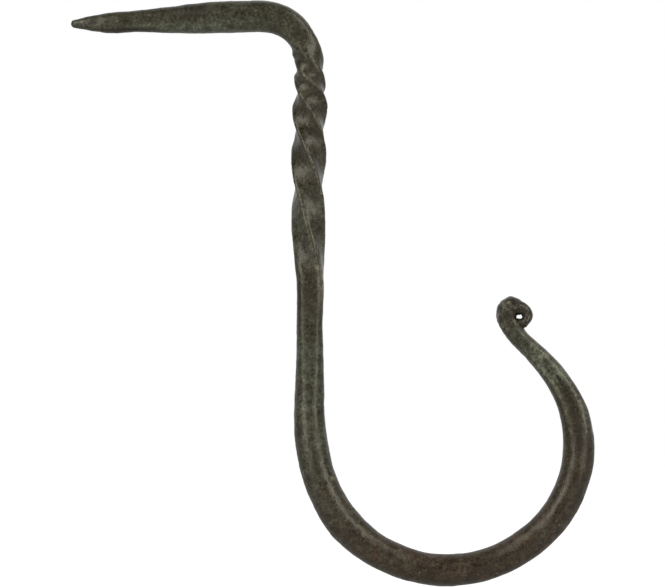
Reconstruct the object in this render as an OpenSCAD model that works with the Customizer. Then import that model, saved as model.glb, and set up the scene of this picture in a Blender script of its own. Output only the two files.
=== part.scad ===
// Hand-forged hook made from one length of iron bar: a square spike that is driven into a beam, a bent
// neck, a twisted square shank, a round bowl, and a drawn-down end that is rolled back into a curl.
// Units are millimetres. The hook lies in the XZ plane: the spike points to -X, the shank hangs along -Z.

/* [Spike] */
// Reach of the spike behind the wall plane, from the tip to the plane that the twist touches
spike_reach = 42; // [25:0.5:60]
// Angle at which the spike rises from its tip to the neck
spike_rise = 2.4; // [0:0.1:6]
// Height of the spike where it meets the neck
spike_root_h = 5.95; // [4.5:0.05:7.5]
// Thickness of the spike across the hook's plane where it meets the neck
spike_root_t = 5.4; // [4:0.05:7]
// Height of the slim stretch behind the point
spike_slim_h = 3.85; // [2.5:0.05:4.5]
// Thickness of the slim stretch across the hook's plane
spike_slim_t = 3.9; // [2.5:0.05:4.5]
// Length of the sharpened point
point_l = 8.4; // [4:0.1:12]
// Width of the blunted end of the point
point_tip = 1; // [0.4:0.05:2]
// Distance from the tip at which the spike starts to thicken
slim_end = 12; // [12:0.1:14]
// Distance from the tip at which the spike reaches its full height
full_start = 27; // [20:0.1:29]

/* [Neck] */
// Centreline radius at the tightest part of the neck's bend
neck_r = 7.85; // [7:0.1:12]
// Centreline radius where the bend runs out into the straight lengths
neck_ease_r = 16.2; // [13:0.1:24]
// Width of the bar inside the bend, where forging has thinned it
neck_w = 5.4; // [4:0.05:6.5]

/* [Twist and shank] */
// Drop of the hook, from the spike's axis at the wall to the underside of the bowl
drop = 108.8; // [98:0.1:160]
// Side of the square bar in the twist
square_side = 5; // [4:0.05:5.6]
// Side of the square where it leaves the neck
neck_side = 4.7; // [4:0.05:5.6]
// Turns that the bar is twisted through
twist_turns = 1; // [0.5:0.05:1.2]
// Length of bar that the first quarter turn takes, next to the neck
twist_quarter_l = 4.3; // [3:0.1:5]
// How many times longer each quarter turn is than the one above it
twist_growth = 1.6; // [1.1:0.02:1.7]
// Length of the twist that lies inside the neck's bend
twist_lead = 0; // [0:0.1:4]
// Side of the bar at the narrowest part of the shank below the twist
shank_side = 4.8; // [4:0.05:5.6]
// Distance from the twist down to the narrowest part of the shank
waist_l = 9; // [4:0.5:12]
// Diameter of the shank where it starts to curve into the bowl
shank_end_d = 5.5; // [4.8:0.05:6.5]

/* [Bowl] */
// Diameter of the round bar along the bottom of the bowl
bar_d = 6; // [4.8:0.05:7.5]
// Diameter of the bar where it swells at the low corner below the shank
heel_d = 6.4; // [5:0.05:7.8]
// Radius of the centreline where the shank starts to curve
bowl_lead_r = 74; // [50:1:110]
// Radius of the centreline at the low corner below the shank
bowl_heel_r = 24; // [20:0.1:30]
// Radius of the centreline at the bottom
bowl_bottom_r = 26.7; // [22:0.1:34]
// Radius of the centreline on the rising side
bowl_rise_r = 23.6; // [20:0.1:30]
// Radius of the centreline at the widest point
bowl_side_r = 20; // [17:0.1:26]
// Radius of the centreline where the bowl runs out into the arm
arm_r = 62; // [40:1:160]
// Angle that the bar turns through between the shank and the heel
heel_turn = 35; // [25:0.5:45]
// Angle between the heel and the bottom
bottom_turn = 68.5; // [58:0.5:78]
// Angle between the bottom and the rising side
rise_turn = 51; // [42:0.5:60]
// Angle between the rising side and the widest point
side_turn = 43.5; // [34:0.5:52]
// Angle between the widest point and the arm
arm_turn = 29.3; // [22:0.1:38]

/* [Arm and curl] */
// Thickness of the bar in the hook's plane where the drawing-down starts, at the widest point
side_w = 5.2; // [4.5:0.05:6]
// Depth of the bar across the hook's plane at the widest point
side_t = 5.8; // [4.5:0.05:6.5]
// Thickness of the arm in the hook's plane at the end of the bowl's curve
arm_w = 3.45; // [3:0.05:4.5]
// Depth of the arm across the hook's plane at the end of the bowl's curve
arm_t = 5; // [4:0.05:6]
// Length of the straight arm between the bowl and the curl
arm_l = 1.4; // [0.5:0.1:8]
// Thickness of the bar in the hook's plane where the curl starts
curl_start_w = 3.4; // [2.4:0.05:3.6]
// Depth of the bar across the hook's plane where the curl starts
curl_start_t = 4.6; // [3.5:0.05:5.6]
// Thickness of the strip where it swells at the shoulder of the curl
curl_shoulder_w = 4.1; // [3:0.05:4.15]
// Thickness of the strip at the top of the curl
curl_top_w = 3.05; // [2.2:0.05:3.3]
// Thickness of the strip past the top, and of the rolled end at its nose
curl_end_w = 1.9; // [1.2:0.05:2.2]
// Depth of the rolled end at its nose
curl_end_t = 3.9; // [2.8:0.05:4.8]
// Centreline radius of the curl up to its top
curl_r = 2.12; // [2.1:0.02:2.6]
// Centreline radius of the curl past its top
nose_r = 1.75; // [1.62:0.01:1.9]
// Radius over which the arm leans back before the curl
lean_r = 12.1; // [9:0.1:16]
// Angle that the arm leans back through before the curl
lean_turn = 21.8; // [16:0.2:28]
// Gap between the nose of the curl and the arm that it closes on
curl_gap = 0.06; // [0.04:0.01:0.3]

/* [Finish] */
// Crispness of the square lengths' corners: higher is sharper
square_crispness = 16; // [6:0.5:20]
// Crispness of the corners where the square leaves the neck
neck_crispness = 6; // [5:0.5:14]
// Crispness of the spike's corners
spike_crispness = 5; // [3:0.5:10]
// Crispness of the drawn-down arm's corners
arm_crispness = 6; // [3:0.5:12]
// Points around the bar
sides = 24; // [16:4:28]
// Greatest spacing of the sections along the straight and gently curved lengths
coarse_step = 1.6; // [1.5:0.1:3]
// Greatest spacing of the sections along the neck, the twist and the lean
fine_step = 0.9; // [0.8:0.05:1.5]
// Greatest angle between the sections around the curl
curl_step_turn = 9; // [8:0.5:20]

/* [Hidden] */

iron = [0.27, 0.25, 0.2];
DEGREES = 180 / PI;

// A section is [width in the hook's plane, depth across it, crispness, chamfer].
// Crispness 2 is a true round, and higher values draw flatter faces with sharper corners.
// The chamfer places the corner planes: 2 leaves a square, and the root of 2 makes a regular octagon.
ROUND = 2;
SQUARE = 2;
OCTAGON = sqrt(2);
OCTAGON_CRISPNESS = 12;
BEVEL = 1.65;

// Distance from the middle of a unit section to its surface, in the direction of an angle
function reach(angle, crispness, chamfer) =
    let (x = abs(cos(angle)), y = abs(sin(angle)),
         planes = pow(x, crispness) + pow(y, crispness)
                  + pow((x + y) / chamfer, crispness) + pow(abs(x - y) / chamfer, crispness))
    pow((1 + 2 / pow(chamfer, crispness)) / planes, 1 / crispness);

// ---- The centreline: runs of [length, curvature at the start, curvature at the end, step] ----

function straight(l, step) = [l, 0, 0, step];

function curve(turn, r_start, r_end, step) =
    let (mean = (1 / r_start + 1 / r_end) / 2)
    [abs(turn) / DEGREES / mean, sign(turn) / r_start, sign(turn) / r_end, step];

// Running totals of a list of numbers or vectors, from a first value
function running(list, first) =
    [for (i = 0, sum = first; i <= len(list); sum = sum + (i < len(list) ? list[i] : 0 * first), i = i + 1)
        sum];

// The steps that a run is walked in: [length, turn]
function steps(run) =
    let (n = ceil(run[0] / run[3]), l = run[0] / n)
    [for (i = [0:n - 1]) [l, l * (run[1] + (run[2] - run[1]) * (i + 0.5) / n) * DEGREES]];

// Points along runs that start at the origin: [distance along the bar, x, z, heading]
function walk(runs, heading) =
    let (moves = [for (run = runs) each steps(run)],
         marks = running(moves, [0, heading]),
         hops = [for (i = [0:len(moves) - 1]) let (aim = marks[i][1] + moves[i][1] / 2)
                 moves[i][0] * [cos(aim), sin(aim)]],
         places = running(hops, [0, 0]))
    [for (i = [0:len(marks) - 1]) [marks[i][0], places[i][0], places[i][1], marks[i][1]]];

DOWN = -90;
neck_half = (DOWN - spike_rise) / 2;
neck = [curve(neck_half, neck_ease_r, neck_r, fine_step),
        curve(neck_half, neck_r, neck_ease_r, fine_step)];
neck_walk = walk(neck, spike_rise);
neck_end = neck_walk[len(neck_walk) - 1];

// The corners of the twisted bar stand proud of its faces, and touch the wall plane at x = 0
corner_reach = square_side / 2 * reach(45, square_crispness, SQUARE);
neck_start = [corner_reach - neck_end[1], (corner_reach - neck_end[1]) * tan(spike_rise)];
spike_l = (spike_reach + neck_start[0]) / cos(spike_rise);

bowl = [curve(heel_turn, bowl_lead_r, bowl_heel_r, coarse_step),
        curve(bottom_turn, bowl_heel_r, bowl_bottom_r, coarse_step),
        curve(rise_turn, bowl_bottom_r, bowl_rise_r, coarse_step),
        curve(side_turn, bowl_rise_r, bowl_side_r, coarse_step),
        curve(arm_turn, bowl_side_r, arm_r, coarse_step)];

// The straight shank takes up what the neck and the bowl leave of the drop
bowl_drop = bar_d / 2 - min([for (p = walk(bowl, DOWN)) p[2]]);
shank_l = drop + neck_start[1] + neck_end[2] - bowl_drop;

// Angles round the curl to its shoulder, to its top and to the thin strip past the top
shoulder_turn = 90;
top_turn = 112;
thin_turn = 150;

// The curl rolls round until its nose comes back to the arm. The lean is an arc of lean_r, the curl is an
// arc of curl_r that touches it from inside, and past the top an arc of nose_r that touches that one from
// inside. The lean's centre, the last arc's centre and the nose make a triangle, which gives the angle at
// which the curl ends. The nose comes in a little askew, so its near corner reaches ahead of its middle.
eye = (lean_r - curl_r) * [1, 0] + (curl_r - nose_r) * [cos(top_turn), sin(top_turn)];
touch_r = lean_r - curl_start_w / 2 - curl_gap;
nose_skew = (pow(touch_r, 2) + pow(nose_r, 2) - eye * eye) / (2 * touch_r * nose_r);
end_r = touch_r - curl_end_w / 2 * abs(nose_skew);
nose_turn = 360 - top_turn + atan2(eye[1], eye[0])
            - acos((pow(end_r, 2) - eye * eye - pow(nose_r, 2)) / (2 * norm(eye) * nose_r));

// The quarter turns lengthen down the shank as a geometric series
twist_l = twist_quarter_l * (pow(twist_growth, 4 * twist_turns) - 1) / (twist_growth - 1);

runs = [
    straight(spike_l, coarse_step),
    each neck,
    straight(twist_l - twist_lead, fine_step),
    straight(shank_l - twist_l + twist_lead, coarse_step),
    each bowl,
    straight(arm_l, fine_step),
    curve(-lean_turn, lean_r, lean_r, fine_step),
    curve(-top_turn, curl_r, curl_r, curl_r * curl_step_turn / DEGREES),
    curve(-nose_turn, nose_r, nose_r, nose_r * curl_step_turn / DEGREES),
];
tip = [-spike_reach, -tan(spike_rise) * spike_reach];
line = [for (p = walk(runs, spike_rise)) [p[0], tip[0] + p[1], tip[1] + p[2], p[3]]];

// Distance along the bar at which each run starts
ends = running([for (run = runs) run[0]], 0);
neck_at = ends[1];
bend_at = ends[2];
shank_at = ends[3];
twist_at = shank_at - twist_lead;
untwisted_at = ends[4];
bowl_at = ends[5];
heel_at = ends[6];
bottom_at = ends[7];
rise_at = ends[8];
side_at = ends[9];
arm_at = ends[10];
lean_at = ends[11];
curl_at = ends[12];
top_at = ends[13];
nose_at = ends[14];
shoulder_at = curl_at + curl_r * shoulder_turn / DEGREES;
thin_at = top_at + nose_r * (thin_turn - top_turn) / DEGREES;

// ---- The sections along the bar ----

// The point is drawn out as an ogive
OGIVE = 1.5;
POINT_STATIONS = 6;
function point_size(s, full) = point_tip + (full - point_tip) * (1 - pow(1 - s / point_l, OGIVE));

forms = [
    for (i = [0:POINT_STATIONS]) let (s = point_l * i / POINT_STATIONS)
        [s, [point_size(s, spike_slim_h), point_size(s, spike_slim_t), spike_crispness, BEVEL]],
    [slim_end, [spike_slim_h, spike_slim_t, spike_crispness, BEVEL]],
    [full_start, [spike_root_h, spike_root_t, spike_crispness, BEVEL]],
    [neck_at, [spike_root_h, spike_root_t, spike_crispness, BEVEL]],
    [bend_at, [neck_w, square_side, neck_crispness, SQUARE]],
    [(bend_at + shank_at) / 2, [neck_w, square_side, neck_crispness, SQUARE]],
    [shank_at, [neck_side, neck_side, neck_crispness, SQUARE]],
    [(5 * shank_at + untwisted_at) / 6, [square_side, square_side, square_crispness, SQUARE]],
    [(shank_at + untwisted_at) / 2, [square_side, square_side, square_crispness, SQUARE]],
    [untwisted_at, [square_side, square_side, square_crispness, BEVEL]],
    [untwisted_at + waist_l, [shank_side, shank_side, OCTAGON_CRISPNESS, BEVEL]],
    [bowl_at, [shank_end_d, shank_end_d, OCTAGON_CRISPNESS, OCTAGON]],
    [(3 * bowl_at + heel_at) / 4, [bar_d, bar_d, OCTAGON_CRISPNESS / 2, OCTAGON]],
    [heel_at, [heel_d, bar_d, ROUND, OCTAGON]],
    [(heel_at + bottom_at) / 2, [bar_d, bar_d, ROUND, OCTAGON]],
    [(rise_at + side_at) / 2, [bar_d, bar_d, ROUND, OCTAGON]],
    [side_at, [side_w, side_t, arm_crispness, BEVEL]],
    [arm_at, [arm_w, arm_t, arm_crispness, BEVEL]],
    [(lean_at + curl_at) / 2, [curl_start_w, curl_start_t, arm_crispness, BEVEL]],
    [curl_at, [curl_start_w, curl_start_t, arm_crispness, BEVEL]],
    [shoulder_at, [curl_shoulder_w, curl_start_t, arm_crispness, BEVEL]],
    [top_at, [curl_top_w, curl_start_t, arm_crispness, BEVEL]],
    [thin_at, [curl_end_w, curl_end_t, arm_crispness, BEVEL]],
    [nose_at, [curl_end_w, curl_end_t, arm_crispness, BEVEL]],
];

// The section at a distance along the bar
tables = [for (k = [0:3]) [for (form = forms) [form[0], form[1][k]]]];
function form_at(s) = [for (table = tables) lookup(s, table)];

// Angle through which the section has turned at a distance along the bar
function twist(s) =
    let (l = max(0, min(twist_l, s - twist_at)))
    90 * ln(1 + l * (twist_growth - 1) / twist_quarter_l) / ln(twist_growth);

// Whole quarter turns leave the square standing as before, so below the twist the ring is counted on by
// that many quarters. What is left over of a turn stays in the shank and runs out along the round bowl,
// so that the width of the arm and the curl lies in the hook's plane.
function quarters(s) = s < untwisted_at ? 0 : 90 * round(4 * twist_turns);
function left_over(s) = max(0, min(1, (rise_at - s) / (rise_at - heel_at)));

// One ring of points round the bar
function ring(p) =
    let (form = form_at(p[0]), counted = quarters(p[0]), roll = (twist(p[0]) - counted) * left_over(p[0]))
    [for (i = [0:sides - 1])
        let (angle = counted + i * 360 / sides,
             r = reach(angle, form[2], form[3]),
             u = form[0] / 2 * r * cos(angle),
             v = form[1] / 2 * r * sin(angle),
             across = u * cos(roll) - v * sin(roll),
             depth = u * sin(roll) + v * cos(roll))
        [p[1] - sin(p[3]) * across, depth, p[2] + cos(p[3]) * across]];

// A closed skin over rings that all have the same number of points
module skin(rings) {
    n = len(rings[0]);
    last = len(rings) - 1;
    walls = [for (j = [0:last - 1], i = [0:n - 1])
             let (k = (i + 1) % n)
             each [[j * n + i, j * n + k, (j + 1) * n + k], [j * n + i, (j + 1) * n + k, (j + 1) * n + i]]];
    caps = [[for (i = [n - 1:-1:0]) i], [for (i = [0:n - 1]) last * n + i]];
    polyhedron(points = [for (r = rings) each r], faces = concat(walls, caps));
}

module hook() {
    color(iron) skin([for (p = line) ring(p)]);
}

hook();
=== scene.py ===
"""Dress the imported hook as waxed, hand-forged iron and set it in a plain white studio.

The bar is swept along its centreline by a Geometry Nodes tree: straight spike, bent neck, twisted
square shank, round bowl, drawn-down arm and rolled curl. The hammer marks and the scale are part of
its mesh, and its finish is one procedural material.
"""
import logging
import math
from bisect import bisect_right
from dataclasses import astuple, dataclass, field
from enum import Enum
from typing import Any, Callable, Sequence

import bpy
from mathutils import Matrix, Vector


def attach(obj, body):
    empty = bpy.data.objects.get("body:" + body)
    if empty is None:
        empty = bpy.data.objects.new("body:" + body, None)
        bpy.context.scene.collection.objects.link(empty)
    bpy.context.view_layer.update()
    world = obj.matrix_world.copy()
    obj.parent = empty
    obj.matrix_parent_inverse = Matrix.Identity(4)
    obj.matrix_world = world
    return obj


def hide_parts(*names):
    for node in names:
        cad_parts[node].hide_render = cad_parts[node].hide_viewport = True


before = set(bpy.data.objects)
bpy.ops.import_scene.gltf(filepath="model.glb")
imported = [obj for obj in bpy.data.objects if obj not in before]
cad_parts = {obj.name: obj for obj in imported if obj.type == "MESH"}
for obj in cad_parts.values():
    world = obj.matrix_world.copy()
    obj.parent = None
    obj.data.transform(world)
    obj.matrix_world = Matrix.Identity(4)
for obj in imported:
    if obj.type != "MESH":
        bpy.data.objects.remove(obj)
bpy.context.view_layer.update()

MM = 0.001
TAU = 2.0 * math.pi
QUARTER = math.pi / 2.0
LOG = logging.getLogger("hook")

Colour = tuple[float, float, float]
Levels = tuple[float, float]


# ---- Node trees as Python expressions, and what every piece needs ------------------------------

@dataclass
class Canvas:
    """A node tree that nodes are added to and linked in."""

    tree: bpy.types.NodeTree

    def node(self, kind: str, settings: dict[str, Any] | None = None,
             sockets: dict[str | int, Any] | None = None) -> bpy.types.Node:
        """Add one node.

        Args:
            kind: The node's type.
            settings: Properties that are set first, such as an operation.
            sockets: Wires or constants, by the input's name or index.

        Returns:
            The new node.
        """
        node = self.tree.nodes.new(kind)
        for name, value in (settings or {}).items():
            setattr(node, name, value)
        for key, value in (sockets or {}).items():
            socket = self._found(node.inputs, key)
            if isinstance(value, Wire):
                self.tree.links.new(value.socket, socket)
            else:
                socket.default_value = value
        return node

    def read(self, kind: str, output: str | int, settings: dict[str, Any] | None = None,
             sockets: dict[str | int, Any] | None = None) -> "Wire":
        """Add one node and take one of its outputs, by name or index."""
        node = self.node(kind, settings, sockets)
        return Wire(self, self._found(node.outputs, output))

    @staticmethod
    def _found(sockets: Any, key: str | int) -> bpy.types.NodeSocket:
        """Find a socket by its index, or the enabled one of its name."""
        if isinstance(key, int):
            return sockets[key]
        return next(socket for socket in sockets if socket.name == key and socket.enabled)


@dataclass(frozen=True)
class Ramp:
    """A smooth rise or fall: where it starts and ends, and its values there."""

    start: float
    end: float
    low: float = 0.0
    high: float = 1.0


def arithmetic(operation: str, swapped: bool = False) -> Callable[["Wire", Any], "Wire"]:
    """Make one of Wire's operators.

    Args:
        operation: The Math node's operation.
        swapped: Whether the wire is the second operand.

    Returns:
        The operator.
    """
    def operator(wire: "Wire", other: Any) -> "Wire":
        """Feed the wire and the other operand to a Math node."""
        pair = (other, wire) if swapped else (wire, other)
        return wire.canvas.read("ShaderNodeMath", 0, {"operation": operation},
                                dict(enumerate(pair)))
    return operator


@dataclass(eq=False)
class Wire:
    """A node's output that takes part in Python arithmetic."""

    canvas: Canvas
    socket: bpy.types.NodeSocket

    def math(self, operation: str, *others: Any) -> "Wire":
        """Feed this wire and any further values to a Math node."""
        sockets = dict(enumerate((self, *others)))
        return self.canvas.read("ShaderNodeMath", 0, {"operation": operation}, sockets)

    __add__ = __radd__ = arithmetic("ADD")
    __mul__ = __rmul__ = arithmetic("MULTIPLY")
    __sub__ = arithmetic("SUBTRACT")
    __rsub__ = arithmetic("SUBTRACT", swapped=True)
    __truediv__ = arithmetic("DIVIDE")
    __rtruediv__ = arithmetic("DIVIDE", swapped=True)
    __pow__ = arithmetic("POWER")

    def __neg__(self) -> "Wire":
        """Change the sign."""
        return self * -1.0

    def __abs__(self) -> "Wire":
        """Drop the sign."""
        return self.math("ABSOLUTE")

    def most(self, *others: "Wire") -> "Wire":
        """Take the greatest of this wire and the others."""
        greatest = self
        for other in others:
            greatest = greatest.math("MAXIMUM", other)
        return greatest

    def between(self, levels: Levels) -> "Wire":
        """Run evenly from one level, where this wire is 0, to another, where it is 1."""
        low, high = levels
        return self * (high - low) + low

    def step(self, ramp: Ramp, shift: float = 0.0) -> "Wire":
        """Follow a ramp, whose start and end may both be shifted."""
        return self.canvas.read(
            "ShaderNodeMapRange", "Result", {"interpolation_type": "SMOOTHSTEP"},
            {"Value": self, "From Min": shift + ramp.start, "From Max": shift + ramp.end,
             "To Min": ramp.low, "To Max": ramp.high})

    def tint(self, low: Any, high: Any) -> "Wire":
        """Mix two colours, each a wire or three numbers, with this wire as the factor."""
        first, second = (c if isinstance(c, Wire) else (*c, 1.0) for c in (low, high))
        return self.canvas.read("ShaderNodeMix", 2, {"data_type": "RGBA", "clamp_factor": True},
                                {0: self, 6: first, 7: second})

    def moved(self, offset: "Wire") -> "Wire":
        """Add another vector to this one."""
        return self.canvas.read("ShaderNodeVectorMath", "Vector", {"operation": "ADD"},
                                {0: self, 1: offset})

    def scaled(self, factor: "Wire") -> "Wire":
        """Scale this vector by a number."""
        return self.canvas.read("ShaderNodeVectorMath", "Vector", {"operation": "SCALE"},
                                {0: self, "Scale": factor})


def noise(place: Wire, size: Any, detail: float, rough: float, seed: Any) -> Wire:
    """Sample noise whose blobs have a real size.

    Args:
        place: Where it is sampled, in metres.
        size: The size of its blobs, in metres.
        detail: Octaves.
        rough: Weight of the finer octaves.
        seed: The fourth coordinate, which picks the pattern.

    Returns:
        Values about 0.5.
    """
    return place.canvas.read("ShaderNodeTexNoise", 0, {"noise_dimensions": "4D"},
                             {"Vector": place, "W": seed, "Scale": 1.0 / size, "Detail": detail,
                              "Roughness": rough})


def linked(name: str, data: bpy.types.ID | None) -> bpy.types.Object:
    """Make an object and link it to the scene."""
    item = bpy.data.objects.new(name, data)
    bpy.context.scene.collection.objects.link(item)
    return item


def blank_material(name: str) -> tuple[bpy.types.Material, Canvas]:
    """Make a material without nodes, and the canvas to lay them on."""
    material = bpy.data.materials.new(name)
    material.use_nodes = True
    material.node_tree.nodes.clear()
    return material, Canvas(material.node_tree)


# ---- The centreline and the sections -----------------------------------------------------------

def mixed(first: Sequence[float], second: Sequence[float], t: float) -> list[float]:
    """Mix two rows of numbers."""
    return [a + (b - a) * t for a, b in zip(first, second)]


def eased(t: float) -> float:
    """Bend an even rise from 0 to 1 into a smooth one, and hold it outside that."""
    t = min(max(t, 0.0), 1.0)
    return t * t * (3.0 - 2.0 * t)


@dataclass(frozen=True)
class Run:
    """A stretch of the centreline whose curvature changes evenly along it."""

    length: float
    bend_start: float = 0.0
    bend_end: float = 0.0

    @classmethod
    def curve(cls, turn_deg: float, r_start: float, r_end: float) -> "Run":
        """Make the run that turns through an angle between two radii.

        Args:
            turn_deg: Angle turned through, in degrees; positive turns from +X towards +Z.
            r_start: Radius at its start.
            r_end: Radius at its end.

        Returns:
            The run.
        """
        mean = (1.0 / r_start + 1.0 / r_end) / 2.0
        side = math.copysign(1.0, turn_deg)
        return cls(abs(math.radians(turn_deg)) / mean, side / r_start, side / r_end)

    def turned(self, l: float) -> float:
        """Give the angle turned through after a length of the run."""
        return self.bend_start * l + (self.bend_end - self.bend_start) * l * l / (2.0 * self.length)


class Centreline:
    """A line in the hook's plane, walked run by run."""

    STEP = 0.05 * MM

    def __init__(self, runs: Sequence[Run], start: tuple[float, float], heading: float) -> None:
        """Walk the runs.

        Args:
            runs: The runs, in order.
            start: The x and z of the first point.
            heading: The first heading, in radians from +X towards +Z.
        """
        x, z = start
        self.rows = [(x, z, heading)]
        self.distances = [0.0]
        walked = 0.0
        for run in runs:
            count = max(2, math.ceil(run.length / self.STEP))
            step = run.length / count
            for i in range(count):
                aim = heading + run.turned((i + 0.5) * step)
                x += step * math.cos(aim)
                z += step * math.sin(aim)
                self.rows.append((x, z, heading + run.turned((i + 1) * step)))
                self.distances.append(walked + (i + 1) * step)
            heading = self.rows[-1][2]
            walked += run.length
        self.length = walked

    def at(self, distance: float) -> list[float]:
        """Give the x, z and heading at a distance along the line."""
        high = min(max(bisect_right(self.distances, distance), 1), len(self.distances) - 1)
        low = high - 1
        span = self.distances[high] - self.distances[low]
        return mixed(self.rows[low], self.rows[high], (distance - self.distances[low]) / span)


class Chamfer(Enum):
    """How much of the square's corners is taken off."""

    SQUARE = 2.0
    BEVEL = 1.65
    OCTAGON = math.sqrt(2.0)


@dataclass(frozen=True)
class Form:
    """The bar's section at one place along it.

    Crispness 2 is a true round, and higher values draw flatter faces. The chamfer places the corner
    planes: 2 leaves a square, and the root of 2 makes a regular octagon.
    """

    width: float
    depth: float
    crispness: float
    chamfer: float

    @classmethod
    def even(cls, side: float, crispness: float, chamfer: Chamfer) -> "Form":
        """Make a section that is as deep as it is wide."""
        return cls(side, side, crispness, chamfer.value)

    def reach(self, angle: float) -> float:
        """Give the distance to a unit section's surface in a direction, in radians."""
        x, y = abs(math.cos(angle)), abs(math.sin(angle))
        p, q = self.crispness, self.chamfer
        planes = x ** p + y ** p + ((x + y) / q) ** p + (abs(x - y) / q) ** p
        return ((1.0 + 2.0 / q ** p) / planes) ** (1.0 / p)


@dataclass(frozen=True)
class Stretch:
    """A named part of the bar: its runs, and its sections at distances from its own start."""

    name: str
    runs: tuple[Run, ...]
    forms: tuple[tuple[float, Form], ...]

    @property
    def length(self) -> float:
        """Length of the centreline over all the runs."""
        return sum(run.length for run in self.runs)


@dataclass(frozen=True)
class Mark:
    """A single hammer mark, notch, blister or stain in the bar's skin.

    Lengths are in millimetres, and its place is counted from the start of its stretch. The angle
    is 0 on the spike's top, the bowl's inside and the curl's outside, and -90 at the front. The
    tone is positive where the skin is painted paler and negative where it is painted darker: for
    iron rubbed pale and for soot at some marks, and as painted highlights and painted shade at
    others.
    """

    along: float
    angle_deg: float
    length: float
    spread: float
    height: float = 0.0
    tone: float = 0.0


@dataclass(frozen=True)
class Bow:
    """A slight sideways swing of the centreline that the smith did not straighten.

    Lengths are in millimetres, and its place is counted from the start of its stretch.
    """

    along: float
    length: float
    offset: float

    def at(self, s: float, start: float) -> float:
        """Give the offset in metres at a distance from the tip; the stretch starts at another."""
        away = (s - (start + self.along * MM)) / (self.length * MM)
        return self.offset * MM * math.exp(-(away ** 2))


@dataclass(frozen=True)
class Wear:
    """How fire, wax and use have left the bar at one distance along it.

    Each value runs from 0 to 1, apart from the roughness, which is 1 for ordinary scale.
    """

    along: float
    rough: float
    burnish: float
    russet: float
    pale: float

    def mixed(self, other: "Wear", s: float) -> "Wear":
        """Mix this state with a later one, at a distance between the two."""
        t = (s - self.along) / (other.along - self.along)
        return Wear(s, *mixed(astuple(self)[1:], astuple(other)[1:], t))


@dataclass
class Spike:
    """The square spike, drawn out to a blunt point, that is driven into the timber."""

    reach: float = 42.0 * MM
    rise_deg: float = 2.4
    root_height: float = 5.95 * MM
    root_thickness: float = 5.4 * MM
    slim_height: float = 3.85 * MM
    slim_thickness: float = 3.9 * MM
    point_length: float = 8.4 * MM
    point_tip: float = 1.0 * MM
    slim_end: float = 12.0 * MM
    full_start: float = 27.0 * MM
    crispness: float = 5.0
    ogive: float = 1.5
    point_stations: int = 12
    marks: tuple[Mark, ...] = (
        Mark(1.9, -75.0, 0.4, 0.35, tone=0.8),
        Mark(3.1, -60.0, 0.25, 0.3, tone=0.5),
        Mark(4.3, -70.0, 1.0, 0.7, -0.12, -0.9),
        Mark(10.5, -138.0, 6.5, 0.26, tone=-1.1),
        Mark(3.6, -20.0, 1.2, 0.4, tone=-0.8),
        Mark(28.4, 180.0, 3.5, 1.0, -0.18),
        Mark(14.0, -112.0, 4.0, 0.22, tone=0.35),
        Mark(6.5, 180.0, 3.0, 1.0, 0.18),
        # Painted light: the next two pale marks paint the spike's underside edge paler, for light
        # reflected up from below.
        Mark(27.0, -162.0, 9.0, 0.45, tone=0.32),
        Mark(36.0, -155.0, 5.0, 0.4, tone=0.3),
        Mark(8.0, 0.0, 2.5, 1.0, -0.12),
        Mark(25.5, 0.0, 4.5, 1.2, 0.16),
        Mark(24.0, -60.0, 3.0, 0.5, tone=-0.8),
        Mark(31.0, -70.0, 1.2, 0.3, tone=-0.6),
    )

    @property
    def tip(self) -> tuple[float, float]:
        """The x and z of the point's end."""
        return -self.reach, -math.tan(math.radians(self.rise_deg)) * self.reach

    def _form(self, height: float, thickness: float) -> Form:
        """Make one of the spike's sections."""
        return Form(height, thickness, self.crispness, Chamfer.BEVEL.value)

    def _point(self, s: float) -> Form:
        """Give the section of the sharpened point at a distance from its end."""
        grown = 1.0 - (1.0 - s / self.point_length) ** self.ogive
        return self._form(*(self.point_tip + (full - self.point_tip) * grown
                            for full in (self.slim_height, self.slim_thickness)))

    def stretch(self, length: float) -> Stretch:
        """Build the spike, from its tip to the neck."""
        places = [self.point_length * i / self.point_stations
                  for i in range(self.point_stations + 1)]
        root = self._form(self.root_height, self.root_thickness)
        forms = [(s, self._point(s)) for s in places]
        forms += [(self.slim_end, self._form(self.slim_height, self.slim_thickness)),
                  (self.full_start, root), (length, root)]
        return Stretch("spike", (Run(length),), tuple(forms))


@dataclass
class Neck:
    """The bend between the spike and the shank, thinned on its inside by the hammer."""

    radius: float = 7.85 * MM
    ease_radius: float = 16.2 * MM
    width: float = 5.4 * MM
    end_side: float = 4.7 * MM
    turning_share: float = 0.75
    crispness: float = 5.0
    marks: tuple[Mark, ...] = (
        # Painted highlight: the first two marks paint a pale band along the neck's outer edge.
        Mark(8.4, -20.0, 2.5, 0.35, tone=0.35),
        Mark(12.5, -10.0, 3.5, 0.35, tone=0.25),
        Mark(5.0, 0.0, 3.5, 1.1, 0.16),
        Mark(13.0, 175.0, 0.9, 0.6, 0.24, -1.0),
        Mark(5.0, 150.0, 3.0, 0.3, tone=0.35),
        Mark(13.0, -70.0, 2.5, 0.6, tone=0.3),
        Mark(18.1, 180.0, 0.6, 0.8, 0.22),
    )

    def stretch(self, turn_deg: float, square: float) -> Stretch:
        """Build the neck.

        Args:
            turn_deg: Angle that it turns through.
            square: Depth of the square bar across the hook's plane.

        Returns:
            The stretch.
        """
        halves = (Run.curve(turn_deg / 2.0, self.ease_radius, self.radius),
                  Run.curve(turn_deg / 2.0, self.radius, self.ease_radius))
        middle = Form(self.width, square, self.crispness, Chamfer.SQUARE.value)
        end = Form.even(self.end_side, self.crispness, Chamfer.SQUARE)
        whole = sum(run.length for run in halves)
        return Stretch("neck", halves, ((whole * 0.5, middle), (whole * self.turning_share, end),
                                        (whole, end)))


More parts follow.
